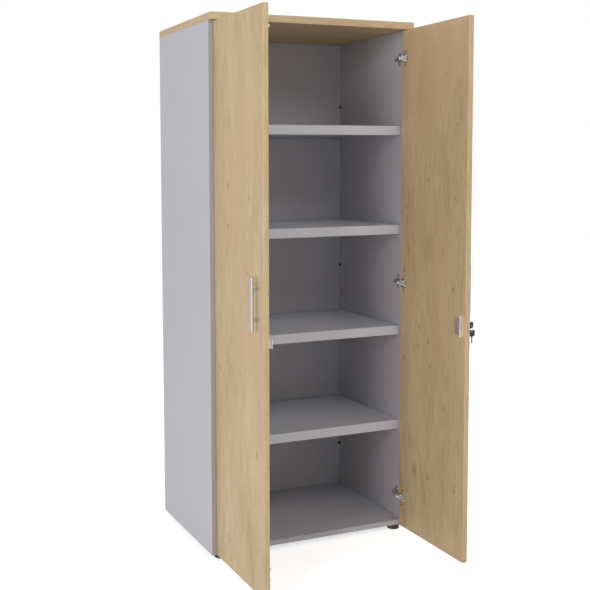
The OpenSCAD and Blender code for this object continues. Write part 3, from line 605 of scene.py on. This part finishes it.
def board(node, face_finish, end_finish, end_axis):
    """end_axis is the direction in which the faces with end_finish look."""
    shape = welded_copy(node)
    count = ease_edges(shape, BANDING_MM, SHORTEST_MM)
    low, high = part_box(node)
    for face in shape.faces:
        middle = face.calc_center_median()
        depth = min(min(middle[i] - low[i], high[i] - middle[i]) for i in range(3))
        # Faces inside a bore or a groove get the chipboard that is painted dark as shade.
        if depth > BANDING_MM * MM:
            face.material_index = CORE_IN_PAINTED_SHADE
        elif abs(face.normal[end_axis]) > LOOKING:
            face.material_index = EDGING
    finishes = [face_finish, end_finish, CHIPBOARD_IN_PAINTED_SHADE]
    piece = finished_piece(node + "_board", shape, finishes, BODY_OF[node], [node])
    print(node, "eased edges:", count, "faces:", len(piece.data.polygons))
    return piece


for name in ("door_left", "door_right"):
    board(name, OAK[2], OAK[1], 2)
board("top_panel", OAK[0], OAK[1], 0)
for name in ("side_panel_left", "side_panel_right"):
    board(name, GREY_BOARD, GREY_EDGING, 1)
for name in ("bottom_panel", "back_panel"):
    board(name, GREY_BOARD, GREY_BOARD, 2)

# %% [markdown]
# ## Shelves
# Each shelf is one steel sheet. Its front and back are folded down into a rail and once
# more inwards, which makes the rail stiff and hides its raw edge, and its sides are folded
# down as stiffening flanges. The sheet is drawn as one skin with real bends and then
# thickened, which keeps the same thickness all round, as a press brake does.

# %% Folded shelves
SHEET_MM = 1.2
BEND_MM = 2.2
RELIEF_MM = 1.5
RETURN_MM = 12.0
FLANGE_MM = 18.0
BEND_STEPS = 4
SHELF_COUNT = 4


def bend(centre, radius, start, end):
    """Points on an arc, from the start angle to the end angle in degrees."""
    turns = [math.radians(start + (end - start) * i / BEND_STEPS) for i in range(BEND_STEPS + 1)]
    return [(centre[0] + radius * math.cos(t), centre[1] + radius * math.sin(t)) for t in turns]


def folded_shelf(node):
    low, high = (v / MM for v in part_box(node))
    radius = BEND_MM
    cut = radius + RELIEF_MM
    rail = [(low.y + RETURN_MM, low.z)]
    rail += bend((low.y + radius, low.z + radius), radius, 270, 180)
    rail += bend((low.y + radius, high.z - radius), radius, 180, 90)
    rail += [(low.y + cut, high.z)]
    flange = [(low.x, high.z - FLANGE_MM)]
    flange += bend((low.x + radius, high.z - radius), radius, 180, 90)
    shape = bmesh.new()
    spots = {}

    def spot(x, y, z):
        key = (round(x, 3), round(y, 3), round(z, 3))
        if key not in spots:
            spots[key] = shape.verts.new(Vector(key) * MM)
        return spots[key]

    def skin(points, stations, place):
        for first, second in zip(points, points[1:]):
            for a, b in zip(stations, stations[1:]):
                corners = [place(a, *first), place(b, *first), place(b, *second), place(a, *second)]
                shape.faces.new([spot(*corner) for corner in corners])

    across = [low.x, low.x + radius, high.x - radius, high.x]
    deep = [low.y + cut, high.y - cut]
    skin(rail, across, lambda x, y, z: (x, y, z))
    skin(rail, across, lambda x, y, z: (x, low.y + high.y - y, z))
    skin(flange, deep, lambda y, x, z: (x, y, z))
    skin(flange, deep, lambda y, x, z: (low.x + high.x - x, y, z))
    skin([(low.x + radius, high.z), (high.x - radius, high.z)], deep, lambda y, x, z: (x, y, z))
    piece = finished_piece(
        node + "_folded", shape, [POWDER_COAT], BODY_OF[node], [node]
    )
    sheet = piece.modifiers.new("sheet", "SOLIDIFY")
    sheet.thickness = SHEET_MM * MM
    sheet.offset = -1.0
    sheet.use_even_offset = True
    return piece


for number in range(1, SHELF_COUNT + 1):
    piece = folded_shelf("shelf_" + str(number))
    print(piece.name, "faces:", len(piece.data.polygons))

# %% [markdown]
# ## Handles
# Each handle is a length of round bar on two thinner posts, screwed on from behind. The bar
# and posts are turned, with the small end radius that a lathe leaves, and each post has a
# foot that closes on the door.

# %% Handles
BAR_END_MM = 1.0
POST_PITCH_MM = 96.0
POST_MM = 4.0
# Distance from the door and radius of the post's foot, in mm.
POST_FOOT = [(0, 0), (0, 4.6), (0.5, 5.0), (1.4, 5.0), (1.8, 4.6), (2.2, POST_MM)]
# A post ends inside the bar, this far short of its axis.
SHORT_OF_AXIS_MM = 0.5
POST_STEPS = 32


def bar_handle(node):
    low, high = (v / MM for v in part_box(node))
    outward = -1.0 if low.x < 0 else 1.0
    radius = (high.y - low.y) / 2
    bar_x = (low.x + radius) if outward < 0 else (high.x - radius)
    face_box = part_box(node.replace("handle", "door"))
    face_x = (face_box[0].x if outward < 0 else face_box[1].x) / MM
    middle_y = (low.y + high.y) / 2
    middle_z = (low.z + high.z) / 2
    shape = bmesh.new()
    bar = rounded(0, high.z - low.z, radius, BAR_END_MM)
    turned(shape, bar, Vector((bar_x, middle_y, low.z)) * MM, (0, 0, 1))
    reach = abs(bar_x - face_x) - SHORT_OF_AXIS_MM
    post = POST_FOOT + [(reach, POST_MM), (reach, 0)]
    for offset in (-POST_PITCH_MM / 2, POST_PITCH_MM / 2):
        spot = Vector((face_x, middle_y, middle_z + offset)) * MM
        turned(shape, post, spot, (outward, 0, 0), POST_STEPS)
    return finished_piece(
        node + "_turned", shape, [BRUSHED_STEEL], BODY_OF[node], [node]
    )


for name in ("handle_left", "handle_right"):
    piece = bar_handle(name)
    print(piece.name, [round(v / MM, 1) for v in piece.dimensions])

# %% [markdown]
# ## Hinges, lock and the other hardware
# These are pressed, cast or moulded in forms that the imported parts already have, so each
# one is refined: its edges get the radius that the press tool or the tumbling leaves.

# %% Refined hardware
# The radius of an eased edge in mm, and the parts that get it.
EASED_MM = (
    (0.35, [name for name in nodes if name.startswith(("hinge_cup", "hinge_arm"))]),
    (0.25, ["long_links_left", "long_links_right", "short_links_left", "short_links_right"]),
    (0.3, ["hinge_plates", "lock_faceplate", "strike", "slide_guides", "lock_bolt"]),
    (0.6, ["lock_cylinder", "key_head", "spare_key_head", "back_clips"]),
    (0.4, ["slide_bolt_top", "slide_bolt_bottom", "lock_plug"]),
)
CASE_MM = 0.7

for radius_mm, names in EASED_MM:
    for name in names:
        refine(name, radius_mm)
refine("lock_case", CASE_MM, finish=SATIN_NICKEL)

# %% [markdown]
# ## Screws
# The screws are zinc plated with a pan head and a cross recess. Each is turned up to the
# rim of its flat top, and the top is filled round a cross that is sunk into it. Where each
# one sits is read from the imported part: its separate solids are found one by one.

# %% Separate solids
def solids(node):
    """The lowest and highest corners, in mm, of each separate solid of a part."""
    shape = welded_copy(node)
    left = set(shape.verts)
    boxes = []
    while left:
        reached = [left.pop()]
        for vert in reached:
            near = {edge.other_vert(vert) for edge in vert.link_edges} & left
            left -= near
            reached.extend(near)
        spread = [[vert.co[i] / MM for vert in reached] for i in range(3)]
        boxes.append((Vector(map(min, spread)), Vector(map(max, spread))))
    shape.free()
    # A set has no order, so the boxes are sorted, to come out the same in each run.
    return sorted(boxes, key=lambda box: box[0][:])


print("plate screws found:", len(solids("hinge_plate_screws")))

# %% Cross-recessed screws
SHANK_MM = 1.9
SCREW_STEPS = 24
# The head's outline, as shares of its height and of its radius.
HEAD = ((0.0, 1.0), (0.35, 1.0), (0.75, 0.9), (1.0, 0.66))
# The cross: length and half width of an arm as shares of the radius, and how high its
# bottom lies and how much smaller it is there.
ARM_SHARE = 0.52
ARM_WIDTH = 0.17
BOTTOM_LEVEL = 0.35
BOTTOM_SHARE = 0.7
PAN_MM = 1.6
FLAT_MM = 1.0


def cross_screw(shape, seat, axis, radius, height, length):
    """A screw whose head stands on seat, in metres, and looks along axis."""
    along = Vector(axis).normalized()
    side = along.orthogonal().normalized()
    other = along.cross(side)
    profile = [(-length, 0), (-length, SHANK_MM), (0, SHANK_MM)]
    profile += [(level * height, share * radius) for level, share in HEAD]
    old = set(shape.verts)
    turned(shape, profile, seat, axis, SCREW_STEPS)
    made = [vert for vert in shape.verts if vert not in old]
    rim = made[-SCREW_STEPS:]
    tip = ARM_SHARE * radius
    half = ARM_WIDTH * radius
    quarter = [(tip, -half), (tip, half), (half, half)]
    cross = []
    for turn in range(4):
        for x, y in quarter:
            for _ in range(turn):
                x, y = -y, x
            cross.append((x, y))

    def ring(level, share):
        lift = Vector(seat) + along * level * MM
        return [shape.verts.new(lift + (side * x + other * y) * share * MM) for x, y in cross]

    upper = ring(height, 1.0)
    lower = ring(BOTTOM_LEVEL * height, BOTTOM_SHARE)
    for i in range(len(cross)):
        shape.faces.new([upper[i], upper[i - 1], lower[i - 1], lower[i]])
    shape.faces.new(lower)
    loops = [shape.edges.get((rim[i - 1], rim[i])) for i in range(SCREW_STEPS)]
    loops += [shape.edges.get((upper[i - 1], upper[i])) for i in range(len(cross))]
    bmesh.ops.triangle_fill(shape, use_beauty=True, edges=loops)


def screws(node, look, height):
    """look gives the direction in which the head of a screw at a place looks."""
    shape = bmesh.new()
    for low, high in solids(node):
        middle = (low + high) / 2
        axis = Vector(look(middle))
        sideways = min(high[i] - low[i] for i in range(3))
        half = abs((high - low).dot(axis)) / 2
        seat = middle + axis * (half - height)
        cross_screw(shape, seat * MM, axis, sideways / 2, height, 2 * half - height)
    return finished_piece(node + "_cross", shape, [ZINC], BODY_OF[node], [node])


def inward(place):
    return (-math.copysign(1.0, place.x), 0.0, 0.0)


for name, look, height in (
    ("hinge_plate_screws", inward, PAN_MM),
    ("door_screws", lambda place: (1.0, 0.0, 0.0), PAN_MM),
    ("faceplate_screws", lambda place: (0.0, -1.0, 0.0), FLAT_MM),
):
    piece = screws(name, look, height)
    print(piece.name, "faces:", len(piece.data.polygons))

# %% [markdown]
# ## Small things inside the carcass
# Each hinge arm carries an adjusting screw in its slot. The cams that draw the top down on
# the sides are hidden by thin push-in caps in the colour of the decor.

# %% Adjusting screws and cam caps
ARM_FACE_MM = 8.0
SUNK_MM = 0.6
FROM_ARM_END_MM = 9.0
# The adjusting screw's radius, head height and length.
ADJUSTER_MM = (2.3, 1.0, 5.0)
# Only the cams over this height join the top, and only these get a cap.
TOP_ROW_MM = 1000.0
CAP_THICK_MM = 0.8
CAP_RADIUS_MM = 8.75
CAP_EDGE_MM = 0.3


def adjusting_screws():
    shape = bmesh.new()
    for name in nodes:
        if name.startswith("hinge_arm"):
            low, high = (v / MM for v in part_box(name))
            outer = high.x if high.x > 0 else low.x
            side = math.copysign(1.0, outer)
            seat_x = outer - side * (ARM_FACE_MM - SUNK_MM)
            seat = Vector((seat_x, high.y - FROM_ARM_END_MM, (low.z + high.z) / 2))
            cross_screw(shape, seat * MM, (-side, 0, 0), *ADJUSTER_MM)
    return finished_piece("hinge_adjusting_screws", shape, [ZINC], "carcass")


def cam_caps():
    shape = bmesh.new()
    cap = rounded(0, CAP_THICK_MM, CAP_RADIUS_MM, CAP_EDGE_MM)
    for low, high in solids("cam_locks"):
        if low.z > TOP_ROW_MM:
            face_x = min(abs(low.x), abs(high.x))
            side = math.copysign(1.0, low.x)
            spot = Vector((side * face_x, (low.y + high.y) / 2, (low.z + high.z) / 2))
            turned(shape, cap, spot * MM, (-side, 0, 0))
    return finished_piece("cam_cover_caps", shape, [GREY_PLASTIC], "carcass")


for piece in (adjusting_screws(), cam_caps()):
    print(piece.name, "faces:", len(piece.data.polygons))

# %% [markdown]
# ## Key blades
# A cabinet key is a flat steel blade cut along both edges, with a blunt tip, and tumbled
# until it is dull and dark. The outline is drawn flat and given its thickness.

# %% Cut blades
CUTS_MM = (0.9, 0.5, 1.1, 0.7, 0.4, 1.0)
PITCH_MM = 2.5
# Where the flat bottom of a cut starts and ends, and how far the ridge after it is worn.
CUT_FLAT_MM = (0.6, 1.5)
WORN_MM = 0.1
PLAIN_TIP_MM = 3.0
# The two corners of the blunt tip, from the end and from the blade's side.
TIP_MM = ((1.0, 0.6), (0.0, 1.8))


def blade_outline(length, width):
    """Points (along, across) in mm from the head's end to the tip, and back."""
    half = width / 2
    start = length - PLAIN_TIP_MM - PITCH_MM * len(CUTS_MM)
    edge = [(0, half), (start, half)]
    for i, cut in enumerate(CUTS_MM):
        at = start + PITCH_MM * i
        edge += [(at + flat, half - cut) for flat in CUT_FLAT_MM]
        edge.append((at + PITCH_MM, half - WORN_MM))
    edge += [(length - back, half - inside) for back, inside in TIP_MM]
    return edge + [(x, -y) for x, y in reversed(edge)]


def cut_blade(node, head_end, along, across):
    """head_end is 1 where the head lies at the far end of along, otherwise 0."""
    low, high = (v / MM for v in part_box(node))
    size = high - low
    length = abs(size.dot(Vector(along)))
    width = abs(size.dot(Vector(across)))
    start = (low + high) / 2 + Vector(along) * length * (head_end - 0.5)
    run = Vector(along) * (1 if head_end == 0 else -1)
    through = Vector((0, 1, 0)) * size.y / 2
    shape = bmesh.new()
    sheets = []
    outline = blade_outline(length, width)
    for side in (-1, 1):
        points = [start + run * x + Vector(across) * y + through * side for x, y in outline]
        sheets.append([shape.verts.new(point * MM) for point in points])
    shape.faces.new(sheets[0])
    shape.faces.new(sheets[1])
    count = len(sheets[0])
    for i in range(count):
        j = (i + 1) % count
        shape.faces.new([sheets[0][i], sheets[0][j], sheets[1][j], sheets[1][i]])
    return finished_piece(node + "_cut", shape, [KEY_STEEL], BODY_OF[node], [node])


for piece in (
    cut_blade("key_blade", 1, (1, 0, 0), (0, 0, 1)),
    cut_blade("spare_key_blade", 1, (0, 0, 1), (1, 0, 0)),
):
    print(piece.name, [round(v / MM, 1) for v in piece.dimensions])

# %% [markdown]
# ## Floor and light
# A studio with a white floor and white walls. Lamps as large as windows give soft edges,
# and the strongest stands to the left, because the left side is the brightest face in the
# photograph. The camera and shiny metal see the surroundings as plain white, and the floor
# keeps the shadow that the cabinet casts on it.

# %% Floor
FLOOR_GLOW = 0.66
FLOOR_HALF = 12.0
FLOOR_LEVEL = -0.0005
FLOOR_SQUARES = 8


def seen_directly(tree):
    """1 for rays of the camera, of gloss and of glass, otherwise 0."""
    camera_ray = add(tree, "LightPath", out="Is Camera Ray")
    rays = camera_ray.node.outputs
    either = add(tree, "Math", (camera_ray, rays["Is Glossy Ray"]), operation="MAXIMUM")
    return add(tree, "Math", (either, rays["Is Transmission Ray"]), operation="MAXIMUM")


def make_floor(half, level):
    shape = bmesh.new()
    squares = FLOOR_SQUARES
    bmesh.ops.create_grid(shape, x_segments=squares, y_segments=squares, size=half)
    mesh = bpy.data.meshes.new("floor")
    shape.to_mesh(mesh)
    shape.free()
    floor = bpy.data.objects.new("floor", mesh)
    floor.location.z = level
    bpy.context.scene.collection.objects.link(floor)
    paint = bpy.data.materials.new("studio_floor")
    paint.use_nodes = True
    tree = paint.node_tree
    tree.nodes.clear()
    lit = add(tree, "BsdfDiffuse", {"Color": tint("#E6E6E6")})
    power = add(tree, "Math", (seen_directly(tree), FLOOR_GLOW), operation="MULTIPLY")
    glow = add(tree, "Emission", {"Color": tint("#FFFFFF"), "Strength": power})
    add(tree, "OutputMaterial", {"Surface": add(tree, "AddShader", (lit, glow))})
    dress(floor, paint)
    return floor


floor = make_floor(FLOOR_HALF, FLOOR_LEVEL)
print("floor half width in metres:", round(floor.dimensions.x / 2, 2))

# %% World
ROOM_LEVEL = 0.44


def make_world(level):
    world = bpy.data.worlds.new("studio")
    bpy.context.scene.world = world
    world.use_nodes = True
    tree = world.node_tree
    tree.nodes.clear()
    power = add(tree, "Math", (seen_directly(tree), 1.0 - level, level), operation="MULTIPLY_ADD")
    sky = add(tree, "Background", {"Color": tint("#FFFFFF"), "Strength": power})
    add(tree, "OutputWorld", {"Surface": sky})
    return world


studio = make_world(ROOM_LEVEL)
print("world:", studio.name, "at level", ROOM_LEVEL)

# %% Lamps
# Each has a name, a place, a point to look at and a size in metres, and a power in watts.
LAMPS = (
    ("left_front_window", (-5.2, -3.6, 1.8), (0.2, -0.2, 0.95), (2.0, 3.4), 188.0),
    ("high_front", (0.3, -3.4, 3.9), (0.0, 0.0, 0.8), (2.4, 1.6), 44.0),
    ("right_back", (3.6, 2.4, 2.6), (0.0, 0.0, 1.0), (2.4, 2.4), 60.0),
)


def make_lamp(name, place, target, size, watts):
    data = bpy.data.lights.new(name, "AREA")
    data.shape = "RECTANGLE"
    data.size, data.size_y = size
    data.energy = watts
    lamp = bpy.data.objects.new(name, data)
    lamp.location = place
    aim = (Vector(target) - Vector(place)).to_track_quat("-Z", "Y")
    lamp.rotation_mode = "QUATERNION"
    lamp.rotation_quaternion = aim
    bpy.context.scene.collection.objects.link(lamp)
    return lamp


for row in LAMPS:
    make_lamp(*row)

view = bpy.context.scene.view_settings
view.view_transform = "Standard"
